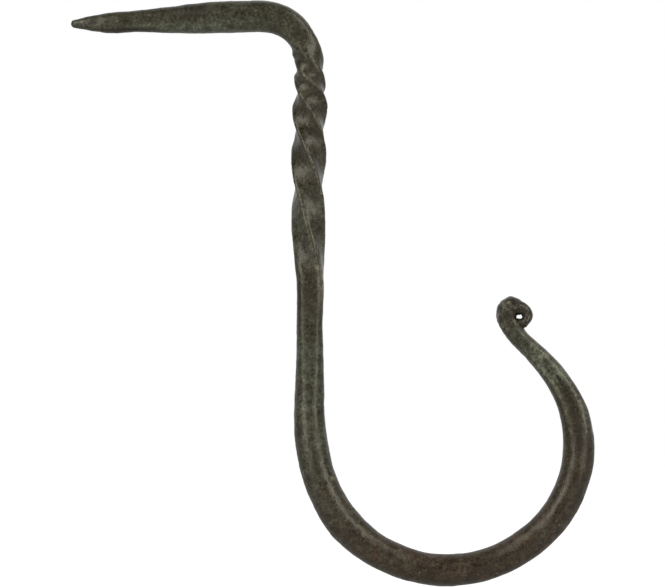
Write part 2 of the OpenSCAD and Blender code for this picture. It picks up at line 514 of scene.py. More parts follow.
@dataclass
class TwistedShank:
    """The square bar below the neck: twisted at the top, bevelled towards the bowl."""

    square_side: float = 5.0 * MM
    turns: float = 1.0
    quarter_length: float = 4.3 * MM
    growth: float = 1.6
    side: float = 4.8 * MM
    waist_length: float = 9.0 * MM
    end_diameter: float = 5.5 * MM
    crispness: float = 16.0
    end_crispness: float = 9.0
    quick_turn: float = math.radians(56.0)
    quick_length: float = 2.1 * MM
    slow_start: float = 1.0 * MM
    slow_end: float = 7.5 * MM
    bows: tuple[Bow, ...] = (
        Bow(4.3, 2.4, 0.19),
        Bow(10.5, 2.4, -0.12),
        Bow(15.5, 2.4, -0.12),
        Bow(20.3, 3.6, -0.3),
        Bow(28.5, 4.5, -0.3),
        Bow(36.0, 3.5, -0.08),
        Bow(42.5, 3.5, 0.1),
        Bow(71.0, 8.0, -0.14),
    )
    marks: tuple[Mark, ...] = (
        # Painted shade: the first four marks darken the twist between its highlights.
        Mark(4.6, -60.0, 1.2, 0.8, tone=-0.7),
        Mark(12.3, -75.0, 1.3, 0.9, tone=-0.7),
        Mark(24.0, -65.0, 1.6, 0.9, tone=-0.7),
        Mark(18.5, -130.0, 2.5, 0.5, tone=-0.4),
        Mark(2.2, 0.0, 1.3, 0.8, -0.16),
        Mark(10.7, 0.0, 0.9, 0.7, 0.18),
        Mark(13.0, 0.0, 1.3, 0.8, -0.25),
        Mark(13.0, 180.0, 1.3, 0.8, -0.25),
        Mark(25.0, 180.0, 1.6, 0.8, 0.18),
        Mark(35.0, -52.0, 1.6, 0.12, -0.1, -1.2),
        Mark(37.4, -65.0, 0.35, 0.25, -0.1, 1.2),
        Mark(44.5, -50.0, 1.4, 0.3, 0.1),
        # Painted highlights and painted shade: the last five marks paint pale streaks at the right
        # of the front and dark streaks down the front and at its left.
        Mark(39.5, -28.0, 7.0, 0.4, tone=0.6),
        Mark(44.0, -128.0, 6.0, 0.25, tone=-0.6),
        Mark(42.0, -50.0, 6.0, 0.2, tone=0.3),
        Mark(33.0, -95.0, 4.0, 0.4, tone=-0.6),
        Mark(41.0, -95.0, 4.0, 0.4, tone=-0.4),
    )

    @property
    def twist_length(self) -> float:
        """Length of the whole twist, whose quarter turns grow as a geometric series."""
        quarters = 4.0 * self.turns
        return self.quarter_length * (self.growth ** quarters - 1.0) / (self.growth - 1.0)

    def turned(self, l: float) -> float:
        """Give the angle that the twist has turned through, in radians.

        The twist runs up into the neck, where it dies away within one more quarter turn.

        Args:
            l: Distance from the neck's end, negative inside the neck.

        Returns:
            The angle, zero at the neck's end.
        """
        if l < 0.0:
            quick = self.quick_turn * (1.0 - math.exp(l / self.quick_length))
            slow = eased((-l - self.slow_start) / (self.slow_end - self.slow_start))
            return -(quick + (QUARTER - quick) * slow)
        l = min(l, self.twist_length)
        grown = 1.0 + l * (self.growth - 1.0) / self.quarter_length
        return math.log(grown) / math.log(self.growth) * QUARTER

    def stretch(self, length: float) -> Stretch:
        """Build the shank, from the neck to the bowl."""
        untwisted = self.twist_length
        square = Form.even(self.square_side, self.crispness, Chamfer.SQUARE)
        bevelled = Form.even(self.square_side, self.crispness, Chamfer.BEVEL)
        waist = Form.even(self.side, self.end_crispness, Chamfer.BEVEL)
        end = Form.even(self.end_diameter, self.end_crispness, Chamfer.OCTAGON)
        forms = ((untwisted / 6.0, square), (untwisted / 2.0, square), (untwisted, bevelled),
                 (untwisted + self.waist_length, waist), (length, end))
        return Stretch("shank", (Run(untwisted), Run(length - untwisted)), forms)


@dataclass
class Bowl:
    """The round open bowl that holds the cup's handle."""

    bar: float = 6.0 * MM
    heel_bar: float = 6.4 * MM
    turns_deg: tuple[float, ...] = (35.0, 68.5, 51.0, 43.5, 29.3)
    radii: tuple[float, ...] = (74.0 * MM, 24.0 * MM, 26.7 * MM, 23.6 * MM, 20.0 * MM, 62.0 * MM)
    side_width: float = 5.2 * MM
    side_depth: float = 5.8 * MM
    arm_width: float = 3.45 * MM
    arm_depth: float = 5.0 * MM
    top_crispness: float = 6.0
    side_crispness: float = 10.0
    arm_crispness: float = 6.0
    marks: tuple[Mark, ...] = (
        Mark(15.1, -40.0, 0.4, 0.2, tone=1.3),
        Mark(22.4, -85.0, 1.2, 0.4, 0.1),
        # Painted highlight and painted shade: the next two marks paint a pale streak beside the
        # front and a dark line down its middle.
        Mark(5.0, -110.0, 7.0, 0.3, tone=0.5),
        Mark(11.0, -88.0, 6.0, 0.16, tone=-0.7),
        Mark(24.5, 180.0, 3.0, 1.0, 0.18),
        Mark(36.4, 0.0, 2.5, 1.0, 0.15),
        Mark(61.7, 180.0, 3.5, 1.0, -0.18),
        Mark(76.9, 180.0, 2.5, 1.0, -0.15),
        Mark(89.0, 0.0, 6.0, 1.0, 0.16),
        # Painted highlights and painted shade: the next seven marks paint the dark front of the
        # bowl's side and arm and the pale streaks beside it.
        Mark(97.4, -98.0, 1.4, 0.14, tone=-1.8),
        Mark(93.0, -93.0, 3.6, 0.22, tone=-1.8),
        Mark(92.0, -128.0, 7.0, 0.25, tone=0.5),
        Mark(86.0, -88.0, 3.5, 0.26, tone=-0.8),
        Mark(97.0, -62.0, 8.0, 0.2, tone=0.55),
        Mark(101.0, -85.0, 3.0, 0.7, tone=0.25),
        Mark(99.0, -38.0, 7.0, 0.3, tone=-0.7),
        Mark(103.5, -100.0, 0.6, 0.3, tone=0.7),
    )

    def runs(self) -> tuple[Run, ...]:
        """Give the curves up to the heel, the bottom, the rise, the side and the arm."""
        pairs = zip(self.turns_deg, self.radii, self.radii[1:])
        return tuple(Run.curve(turn, first, second) for turn, first, second in pairs)

    def ends(self) -> tuple[float, ...]:
        """Give the distances from the shank at which the five curves end."""
        runs = self.runs()
        return tuple(sum(run.length for run in runs[:i + 1]) for i in range(len(runs)))

    def drop(self) -> float:
        """Give the depth of the bowl below the shank's end, to the underside of the bar."""
        line = Centreline(self.runs(), (0.0, 0.0), -QUARTER)
        return self.bar / 2.0 - min(z for _, z, _ in line.rows)

    def stretch(self) -> Stretch:
        """Build the bowl."""
        heel, bottom, rise, side, arm = self.ends()
        octagon, bevel = Chamfer.OCTAGON.value, Chamfer.BEVEL.value
        plain = Form(self.bar, self.bar, 2.0, octagon)
        forms = ((heel / 4.0, Form(self.bar, self.bar, self.top_crispness, octagon)),
                 (heel, Form(self.heel_bar, self.bar, 2.0, octagon)),
                 ((heel + bottom) / 2.0, plain),
                 ((rise + side) / 2.0, plain),
                 (side, Form(self.side_width, self.side_depth, self.side_crispness, bevel)),
                 (arm, Form(self.arm_width, self.arm_depth, self.arm_crispness, bevel)))
        return Stretch("bowl", self.runs(), forms)


@dataclass
class Curl:
    """The drawn-down end, leaning back and rolled up until its nose closes on the arm."""

    arm_length: float = 1.4 * MM
    start_width: float = 3.4 * MM
    start_depth: float = 4.6 * MM
    shoulder_width: float = 4.1 * MM
    shoulder_deg: float = 90.0
    top_width: float = 3.05 * MM
    top_deg: float = 112.0
    thin_deg: float = 150.0
    end_width: float = 1.9 * MM
    end_depth: float = 3.9 * MM
    radius: float = 2.12 * MM
    nose_radius: float = 1.75 * MM
    lean_radius: float = 12.1 * MM
    lean_deg: float = 21.8
    gap: float = 0.06 * MM
    crispness: float = 6.0
    marks: tuple[Mark, ...] = (
        Mark(8.2, 0.0, 0.9, 0.9, 0.34),
        Mark(9.6, 0.0, 0.6, 0.9, 0.25),
        Mark(8.7, 180.0, 0.8, 0.8, -0.3),
        Mark(11.8, 0.0, 0.7, 0.9, -0.28),
        Mark(13.9, 180.0, 0.6, 0.9, -0.22),
        Mark(15.0, 180.0, 0.5, 0.9, 0.3),
        Mark(3.2, 180.0, 0.8, 0.8, 0.15),
        Mark(4.6, -155.0, 1.1, 1.0, 0.5),
        Mark(8.2, -140.0, 1.4, 0.6, tone=-1.1),
        Mark(10.0, -140.0, 1.2, 0.6, tone=-0.9),
        Mark(9.2, -60.0, 0.25, 0.18, tone=0.6),
        Mark(10.6, -35.0, 0.3, 0.2, tone=0.6),
        Mark(11.2, -100.0, 0.25, 0.25, tone=0.6),
        Mark(8.0, -20.0, 0.5, 0.3, tone=-0.7),
        Mark(6.6, -70.0, 0.4, 0.3, -0.08, -0.9),
        Mark(7.2, -35.0, 0.5, 0.3, -0.1, -0.8),
        Mark(9.9, -75.0, 0.5, 0.3, -0.12, -0.8),
        Mark(10.8, 0.0, 0.8, 0.9, -0.4),
        Mark(11.2, 180.0, 1.4, 1.2, 0.45),
        Mark(12.8, 0.0, 0.5, 0.9, 0.12),
        Mark(14.3, 0.0, 0.5, 0.9, -0.15),
        Mark(8.9, -120.0, 0.8, 0.5, -0.3, -1.2),
        Mark(7.0, -100.0, 0.5, 0.4, -0.15, -0.8),
        Mark(8.4, -50.0, 0.4, 0.3, 0.15, 0.8),
        Mark(10.3, -80.0, 0.5, 0.4, 0.15, 0.6),
        Mark(12.0, -70.0, 0.6, 0.4, 0.15, 0.6),
        Mark(14.3, -90.0, 0.5, 0.6, 0.1, 0.7),
    )

    def nose_deg(self) -> float:
        """Work out how far the curl turns past its top before its nose meets the arm.

        The arm leans along an arc, the curl up to its top is a smaller arc that touches it from
        inside, and past the top a smaller one still. The lean's centre, the last arc's centre and
        the nose make a triangle.

        Returns:
            The angle in degrees.
        """
        top = math.radians(self.top_deg)
        eye = complex(self.lean_radius - self.radius, 0.0)
        eye += (self.radius - self.nose_radius) * complex(math.cos(top), math.sin(top))
        touch = self.lean_radius - self.start_width / 2.0 - self.gap
        cosine = touch ** 2 - abs(eye) ** 2 - self.nose_radius ** 2
        cosine /= 2.0 * abs(eye) * self.nose_radius
        bearing = math.atan2(eye.imag, eye.real)
        return 360.0 - self.top_deg + math.degrees(bearing - math.acos(cosine))

    def stretch(self) -> Stretch:
        """Build the arm, the lean and the curl."""
        runs = (Run(self.arm_length),
                Run.curve(-self.lean_deg, self.lean_radius, self.lean_radius),
                Run.curve(-self.top_deg, self.radius, self.radius),
                Run.curve(-self.nose_deg(), self.nose_radius, self.nose_radius))
        lean = self.arm_length
        curl = lean + runs[1].length
        top = curl + runs[2].length
        shoulder = curl + self.radius * math.radians(self.shoulder_deg)
        thin = top + self.nose_radius * math.radians(self.thin_deg - self.top_deg)
        sizes = (((lean + curl) / 2.0, self.start_width, self.start_depth),
                 (curl, self.start_width, self.start_depth),
                 (shoulder, self.shoulder_width, self.start_depth),
                 (top, self.top_width, self.start_depth),
                 (thin, self.end_width, self.end_depth),
                 (top + runs[3].length, self.end_width, self.end_depth))
        forms = tuple((s, Form(width, depth, self.crispness, Chamfer.BEVEL.value))
                      for s, width, depth in sizes)
        return Stretch("curl", runs, forms)


# ---- The bar as one mesh -----------------------------------------------------------------------

class Trait(Enum):
    """Values stored along the bar's spine and on its skin."""

    ALONG = "along"
    HEADING = "heading"
    WIDTH = "width"
    DEPTH = "depth"
    CRISPNESS = "crispness"
    CHAMFER = "chamfer"
    COUNTED = "counted"
    ROLL = "roll"
    ROUGH = "rough"
    BURNISH = "burnish"
    RUSSET = "russet"
    PALE = "pale"
    CENTRE = "centre"
    ANGLE = "angle"
    EDGE = "edge"
    INNER = "inner"
    RELIEF = "relief"
    TONE = "tone"


@dataclass(frozen=True)
class Skin:
    """Sizes of the hammered skin, each of which is a named input of the node tree."""

    sides: int = 84
    dent_size: float = 7.0 * MM
    dent_depth: float = 0.11 * MM
    scale_size: float = 1.5 * MM
    scale_depth: float = 0.06 * MM
    pit_size: float = 0.9 * MM
    pit_depth: float = 0.05 * MM
    scale_thickness: float = 0.08 * MM
    seed: float = 3.0

    def inputs(self) -> dict[str, int | float]:
        """Give each value by the name of its input."""
        return {name.replace("_", " ").title(): value for name, value in vars(self).items()}


@dataclass
class ForgedBar:
    """The whole hook: its stretches end to end, its twist and its hammered skin."""

    spike: Spike = field(default_factory=Spike)
    neck: Neck = field(default_factory=Neck)
    shank: TwistedShank = field(default_factory=TwistedShank)
    bowl: Bowl = field(default_factory=Bowl)
    curl: Curl = field(default_factory=Curl)
    skin: Skin = field(default_factory=Skin)
    drop: float = 108.8 * MM
    spacing: float = 0.25 * MM
    curl_spacing: float = 0.2 * MM
    blend_length: float = 1.2 * MM
    blend_steps: int = 2
    end_rounding: float = 0.4 * MM
    nose_rounding: float = 0.12 * MM
    nose_turn_length: float = 1.6 * MM
    cap_rings: int = 6

    def __post_init__(self) -> None:
        """Lay the stretches end to end and walk their centreline."""
        rise = math.radians(self.spike.rise_deg)
        square = self.shank.square_side
        neck = self.neck.stretch(-90.0 - self.spike.rise_deg, square)
        bent_x, bent_z, _ = Centreline(neck.runs, (0.0, 0.0), rise).rows[-1]
        unit = Form.even(1.0, self.shank.crispness, Chamfer.SQUARE)
        start_x = square / 2.0 * unit.reach(math.pi / 4.0) - bent_x
        start_z = start_x * math.tan(rise)
        spike = self.spike.stretch((self.spike.reach + start_x) / math.cos(rise))
        shank = self.shank.stretch(self.drop + start_z + bent_z - self.bowl.drop())
        self.stretches = (spike, neck, shank, self.bowl.stretch(), self.curl.stretch())
        lengths = [stretch.length for stretch in self.stretches]
        self.starts = {stretch.name: sum(lengths[:i]) for i, stretch in enumerate(self.stretches)}
        runs = [run for stretch in self.stretches for run in stretch.runs]
        self.line = Centreline(runs, self.spike.tip, rise)
        self.forms = [(self.starts[stretch.name] + s, form)
                      for stretch in self.stretches for s, form in stretch.forms]
        self.marks = [(start, mark) for name, start in self.starts.items()
                      for mark in getattr(self, name).marks]

    def _looked_up(self, s: float) -> Form:
        """Mix the two listed sections on either side of a distance."""
        if s <= self.forms[0][0]:
            return self.forms[0][1]
        for (low, first), (high, second) in zip(self.forms, self.forms[1:]):
            if low <= s < high:
                return Form(*mixed(astuple(first), astuple(second), (s - low) / (high - low)))
        return self.forms[-1][1]

    def form_at(self, s: float) -> Form:
        """Give the section at a distance along the bar.

        The listed sections are mixed over a short length, so that no ridge shows where one ends,
        and both ends of the bar are rounded over.

        Args:
            s: Distance from the tip.

        Returns:
            The section.
        """
        left = self.line.length - s
        reach = min(self.blend_length, s, left)
        samples = [astuple(self._looked_up(s + reach * k / self.blend_steps))
                   for k in range(-self.blend_steps, self.blend_steps + 1)]
        width, depth, *rest = (sum(column) / len(samples) for column in zip(*samples))
        rounding = self.end_rounding if s < left else self.nose_rounding
        closeness = min(1.0, min(s, left) / rounding)
        drawn_in = 2.0 * rounding * (1.0 - math.sqrt(1.0 - (1.0 - closeness) ** 2))
        return Form(width - drawn_in, depth - drawn_in, *rest)

    def facing(self, s: float) -> float:
        """Give the direction that the section faces at a distance along the bar, in radians.

        It is the line's own heading, but for the nose, which is bedded flat against the arm.
        """
        bedded = eased(1.0 - (self.line.length - s) / self.nose_turn_length)
        return self.line.at(s)[2] + self._nose_tilt() * bedded

    def _nose_tilt(self) -> float:
        """Give the angle between the bar's last heading and the arm's normal at the nose."""
        x, z, heading = self.line.at(self.starts["curl"] + self.curl.arm_length)
        centre_x = x + self.curl.lean_radius * math.sin(heading)
        centre_z = z - self.curl.lean_radius * math.cos(heading)
        x, z, heading = self.line.at(self.line.length)
        return math.remainder(math.atan2(z - centre_z, x - centre_x) - heading, TAU)

    def _distances(self) -> list[float]:
        """Space the rings: evenly along the bar, closer round the curl and over both ends."""
        curl_start, end = self.starts["curl"], self.line.length
        tip_cap, nose_cap = ([rounding * (1.0 - math.cos(QUARTER * i / self.cap_rings))
                              for i in range(self.cap_rings)]
                             for rounding in (self.end_rounding, self.nose_rounding))
        rings = []
        for low, high, spacing in (
                (self.end_rounding, curl_start, self.spacing),
                (curl_start, end - self.nose_rounding, self.curl_spacing)):
            count = math.ceil((high - low) / spacing)
            rings += [low + (high - low) * i / count for i in range(count)]
        rings.append(end - self.nose_rounding)
        return tip_cap + rings + [end - s for s in reversed(nose_cap)]

    def _turning(self, s: float) -> tuple[float, float]:
        """Split the twist at a distance into quarter turns that are counted off and what is left.

        A square that has turned by whole quarters stands as before, so above and below the twist
        the ring's points are counted on by that many. What is left runs out along the bowl.

        Args:
            s: Distance from the tip.

        Returns:
            The counted angle and the roll, in radians.
        """
        l = s - self.starts["shank"]
        turned = self.shank.turned(l)
        counted = 0.0
        if turned < -QUARTER / 2.0:
            counted = -QUARTER
        if l >= self.shank.twist_length:
            counted = round(4.0 * self.shank.turns) * QUARTER
        heel, _, rise, *_ = (self.starts["bowl"] + end for end in self.bowl.ends())
        left = min(1.0, max(0.0, (rise - s) / (rise - heel)))
        return counted, (turned - counted) * left

    def wear(self) -> tuple[Wear, ...]:
        """List the state of the surface from the tip to the nose."""
        _, neck, shank, bowl, curl = self.starts.values()
        untwisted = shank + self.shank.twist_length
        heel, bottom, rise, side, _ = (bowl + end for end in self.bowl.ends())
        knob = curl + self.curl.arm_length + 4.0 * MM
        return (
            Wear(0.0, 1.3, 0.15, 0.2, 0.3),
            Wear(neck * 0.3, 1.0, 0.05, 0.2, 0.0),
            Wear(neck, 1.0, 0.05, 0.1, 0.1),
            Wear((neck + shank) / 2.0, 1.2, 0.2, 0.15, 0.3),
            Wear(shank, 1.3, 0.5, 0.35, 0.15),
            Wear(shank + 12.0 * MM, 1.1, 0.6, 0.4, 0.1),
            Wear(shank + 22.0 * MM, 1.1, 0.7, 0.35, 0.3),
            Wear(untwisted - 6.0 * MM, 1.0, 0.8, 0.3, 0.45),
            Wear(untwisted + 2.0 * MM, 1.0, 0.3, 0.5, 0.1),
            Wear(untwisted + 10.0 * MM, 1.0, 0.15, 0.1, 0.1),
            Wear(untwisted + 15.0 * MM, 1.0, 0.15, 0.0, 0.8),
            Wear(untwisted + 19.0 * MM, 1.0, 0.3, 0.0, 0.4),
            Wear(bowl, 1.2, 0.3, 0.1, 0.4),
            Wear(bowl + 6.0 * MM, 1.2, 0.3, 0.2, 0.5),
            Wear(heel, 1.1, 0.2, 0.7, 0.2),
            Wear((heel + bottom) / 2.0, 0.9, 0.1, 1.0, 0.0),
            Wear(bottom, 0.8, 0.0, 1.0, 0.0),
            Wear(rise, 0.8, 0.1, 0.9, 0.1),
            Wear(side, 0.9, 0.4, 0.6, 0.1),
            Wear(curl - 12.0 * MM, 1.0, 0.5, 0.3, 0.1),
            Wear(curl - 8.0 * MM, 1.0, 0.5, 0.0, 1.3),
            Wear(curl - 2.0 * MM, 1.1, 0.5, 0.0, 1.3),
            Wear(curl + 3.0 * MM, 1.2, 0.4, 0.0, 0.3),
            Wear(knob, 3.6, 0.3, 0.25, 0.3),
            Wear(self.line.length, 3.0, 0.2, 0.5, 0.2),
        )

    def wear_at(self, s: float) -> Wear:
        """Give the state of the surface at a distance along the bar."""
        states = self.wear()
        for first, second in zip(states, states[1:]):
            if s <= second.along:
                return first.mixed(second, s)
        return states[-1]

    def spine(self) -> bpy.types.Object:
        """Make the centreline as an edge mesh that carries the section's values.

        Returns:
            The object that holds it.
        """
        distances = self._distances()
        points = []
        for s in distances:
            x, z, heading = self.line.at(s)
            swing = sum(bow.at(s, self.starts["shank"]) for bow in self.shank.bows)
            points.append((x - math.sin(heading) * swing, 0.0, z + math.cos(heading) * swing))
        mesh = bpy.data.meshes.new("hook_bar")
        mesh.from_pydata(points, [(i, i + 1) for i in range(len(points) - 1)], [])
        turnings = [self._turning(s) for s in distances]
        columns = {
            Trait.ALONG: distances,
            Trait.HEADING: [self.facing(s) for s in distances],
            Trait.COUNTED: [counted for counted, _ in turnings],
            Trait.ROLL: [roll for _, roll in turnings],
        }
        for look_up in (self.form_at, self.wear_at):
            rows = [vars(look_up(s)) for s in distances]
            columns |= {Trait(name): [row[name] for row in rows] for name in rows[0]}
        for trait, values in columns.items():
            layer = mesh.attributes.new(trait.value, "FLOAT", "POINT")
            layer.data.foreach_set("value", values)
        return linked("hook_bar", mesh)

    def build(self, material: bpy.types.Material) -> bpy.types.Object:
        """Forge the bar into one plain mesh.

        Args:
            material: Its finish.

        Returns:
            The finished object, without modifiers.
        """
        item = self.spine()
        SkinTree(self.skin, self.marks).apply(item, {**self.skin.inputs(), "Finish": material})
        depsgraph = bpy.context.evaluated_depsgraph_get()
        shape = item.evaluated_get(depsgraph)
        mesh = bpy.data.meshes.new_from_object(shape, depsgraph=depsgraph)
        item.modifiers.clear()
        item.data = mesh
        return item


class SkinTree:
    """The Geometry Nodes tree that sweeps the sections along the spine and hammers the skin."""

    KEPT = (Trait.ALONG, Trait.EDGE, Trait.INNER, Trait.RELIEF, Trait.TONE, Trait.BURNISH,
            Trait.RUSSET, Trait.PALE)
    CORNERED = Ramp(3.0, 7.0)
    PITTED = Ramp(0.34, 0.24)
    NOISE_MIDDLE = 0.5
    NOISE_GAIN = 4.0
    NOISE_ROUGH = 0.55
    EDGE_SHELTER = 0.7
    SCALE_SHARE = 0.7
    SCALE_SEED = 7.0
    PIT_SEED = 19.0

    def __init__(self, skin: Skin, marks: Sequence[tuple[float, Mark]]) -> None:
        """Build the tree.

        Args:
            skin: The sizes that become its inputs.
            marks: Single marks to hammer in, each after the start of its stretch.
        """
        self.tree = bpy.data.node_groups.new("forged_skin", "GeometryNodeTree")
        kinds = {int: "NodeSocketInt", float: "NodeSocketFloat"}
        self._socket("Geometry", "NodeSocketGeometry")
        for name, value in skin.inputs().items():
            self._socket(name, kinds[type(value)])
        self._socket("Finish", "NodeSocketMaterial")
        self._socket("Geometry", "NodeSocketGeometry", "OUTPUT")
        self.canvas = Canvas(self.tree)
        self.given = {socket.name: Wire(self.canvas, socket)
                      for socket in self.canvas.node("NodeGroupInput").outputs}
        self._assemble(marks)

    def _socket(self, name: str, kind: str, way: str = "INPUT") -> None:
        """Add a named input or output."""
        self.tree.interface.new_socket(name, in_out=way, socket_type=kind)

    def apply(self, item: bpy.types.Object, values: dict[str, Any]) -> None:
        """Put the tree on an object as a modifier.

        Args:
            item: The object.
            values: The modifier's inputs by name.
        """
        modifier = item.modifiers.new("forging", "NODES")
        modifier.node_group = self.tree
        for socket in self.tree.interface.items_tree:
            if socket.in_out == "INPUT" and socket.name in values:
                modifier[socket.identifier] = values[socket.name]

    def stored(self, trait: Trait, kind: str = "FLOAT") -> Wire:
        """Read a stored value."""
        return self.canvas.read("GeometryNodeInputNamedAttribute", "Attribute",
                                {"data_type": kind}, {"Name": trait.value})

    def store(self, geometry: Wire, trait: Trait, value: Wire, kind: str = "FLOAT") -> Wire:
        """Store a value on every point of the geometry."""
        return self.canvas.read("GeometryNodeStoreNamedAttribute", "Geometry",
                                {"data_type": kind, "domain": "POINT"},
                                {"Geometry": geometry, "Name": trait.value, "Value": value})

    def _assemble(self, marks: Sequence[tuple[float, Mark]]) -> None:
        """Lay the tree's nodes."""
        read = self.canvas.read
        place, edge, inner = self._section()
        height, relief, tone = self._relief(marks)
        formed = self._moved(self._tube(), Position=place)
        skin = read("GeometryNodeFlipFaces", 0, sockets={0: formed})
        for trait, value in ((Trait.EDGE, edge), (Trait.INNER, inner), (Trait.RELIEF, relief),
                             (Trait.TONE, tone)):
            skin = self.store(skin, trait, value)
        skin = self._moved(skin, Offset=read("GeometryNodeInputNormal", 0).scaled(height))
        for trait in Trait:
            if trait not in self.KEPT:
                skin = read("GeometryNodeRemoveAttribute", "Geometry",
                            sockets={"Geometry": skin, "Name": trait.value})
        skin = read("GeometryNodeSetShadeSmooth", 0, sockets={0: skin, "Shade Smooth": True})
        skin = read("GeometryNodeRealizeInstances", 0, sockets={0: skin})
        skin = read("GeometryNodeSetMaterial", 0,
                    sockets={"Geometry": skin, "Material": self.given["Finish"]})
        self.canvas.node("NodeGroupOutput", sockets={"Geometry": skin})

    def _tube(self) -> Wire:
        """Sweep a ring of points along the spine."""
        read = self.canvas.read
        spine = read("GeometryNodeMeshToCurve", 0, sockets={0: self.given["Geometry"]})
        place = read("GeometryNodeInputPosition", 0)
        spine = self.store(spine, Trait.CENTRE, place, "FLOAT_VECTOR")
        ring = read("GeometryNodeCurvePrimitiveCircle", 0, {"mode": "RADIUS"},
                    {"Resolution": self.given["Sides"], "Radius": MM})
        angle = read("GeometryNodeInputIndex", 0) * TAU / self.given["Sides"]
        ring = self.store(ring, Trait.ANGLE, angle)
        return read("GeometryNodeCurveToMesh", 0,
                    sockets={"Curve": spine, "Profile Curve": ring, "Fill Caps": True})

    def _moved(self, geometry: Wire, **sockets: Wire) -> Wire:
        """Set the points' Position, or move them by an Offset."""
        return self.canvas.read("GeometryNodeSetPosition", 0,
                                sockets={"Geometry": geometry, **sockets})

    def _section(self) -> tuple[Wire, Wire, Wire]:
        """Work out each point's place on its section.

        Returns:
            The place, the closeness to a corner (0 to 1), and the side: 1 inside the bowl, -1
            outside it.
        """
        power, chamfer = self.stored(Trait.CRISPNESS), self.stored(Trait.CHAMFER)
        angle = self.stored(Trait.ANGLE) + self.stored(Trait.COUNTED)
        cosine, sine = angle.math("COSINE"), angle.math("SINE")
        x, y = abs(cosine), abs(sine)
        faces = [distance ** power
                 for distance in (x, y, (x + y) / chamfer, abs(x - y) / chamfer)]
        planes = faces[0] + faces[1] + faces[2] + faces[3]
        reach = ((2.0 / chamfer ** power + 1.0) / planes) ** (1.0 / power)
        u = self.stored(Trait.WIDTH) * 0.5 * reach * cosine
        v = self.stored(Trait.DEPTH) * 0.5 * reach * sine
        roll, heading = self.stored(Trait.ROLL), self.stored(Trait.HEADING)
        across = u * roll.math("COSINE") - v * roll.math("SINE")
        depth = u * roll.math("SINE") + v * roll.math("COSINE")
        move = self.canvas.read("ShaderNodeCombineXYZ", 0, sockets={
            "X": -heading.math("SINE") * across, "Y": depth, "Z": heading.math("COSINE") * across})
        edge = (1.0 - faces[0].most(*faces[1:]) / planes) * 2.0 * power.step(self.CORNERED)
        return (self.stored(Trait.CENTRE, "FLOAT_VECTOR").moved(move), edge,
                across / self.stored(Trait.WIDTH) * 2.0)

    def _relief(self, marks: Sequence[tuple[float, Mark]]) -> tuple[Wire, Wire, Wire]:
        """Work out how far the hammering, the scale and the pits move the skin.

        Args:
            marks: Single marks, each after the start of its stretch.

        Returns:
            The height in metres, the scale's part of it as -1 to 1, and the marks' tone.
        """
        given = self.given
        place, seed = self.canvas.read("GeometryNodeInputPosition", 0), given["Seed"]
        rough, edge = self.stored(Trait.ROUGH), self.stored(Trait.EDGE)
        dents, scale = (
            (noise(place, given[size], detail, self.NOISE_ROUGH, pattern) - self.NOISE_MIDDLE)
            * self.NOISE_GAIN
            for size, detail, pattern in (("Dent Size", 1.0, seed),
                                          ("Scale Size", 3.0, seed + self.SCALE_SEED)))
        pits = noise(place, given["Pit Size"], 1.0, 0.5, seed + self.PIT_SEED).step(self.PITTED)
        height = dents * given["Dent Depth"] * (1.0 - edge * self.EDGE_SHELTER)
        height = height + scale * given["Scale Depth"] * rough + given["Scale Thickness"]
        height = height - pits * given["Pit Depth"] * rough
        along = self.stored(Trait.ALONG)
        angle = self.stored(Trait.ANGLE) + self.stored(Trait.COUNTED) + self.stored(Trait.ROLL)
        tone = along * 0.0
        for start, mark in marks:
            near = ((along - (start + mark.along * MM)) / (mark.length * MM)) ** 2
            turned = (angle - math.radians(mark.angle_deg)) * 0.5
            around = (turned.math("SINE") / (mark.spread / 2.0)) ** 2
            bell = (-(near + around)).math("EXPONENT")
            if mark.height:
                height = height + bell * (mark.height * MM)
            if mark.tone:
                tone = tone + bell * mark.tone
        return height, scale * self.SCALE_SHARE - pits, tone


# ---- The finish --------------------------------------------------------------------------------

@dataclass(frozen=True)
class Pattern:
    """Noise whose blobs have a real size, and the two levels between which it counts."""

    size: float
    detail: float
    rough: float
    seed: float
    low: float = 0.0
    high: float = 1.0

    def raw(self, place: Wire) -> Wire:
        """Sample the noise, with values about 0.5."""
        return noise(place, self.size, self.detail, self.rough, self.seed)

    def cut(self, place: Wire) -> Wire:
        """Sample the noise and let it rise from 0 to 1 between the two levels."""
        return self.raw(place).step(Ramp(self.low, self.high))


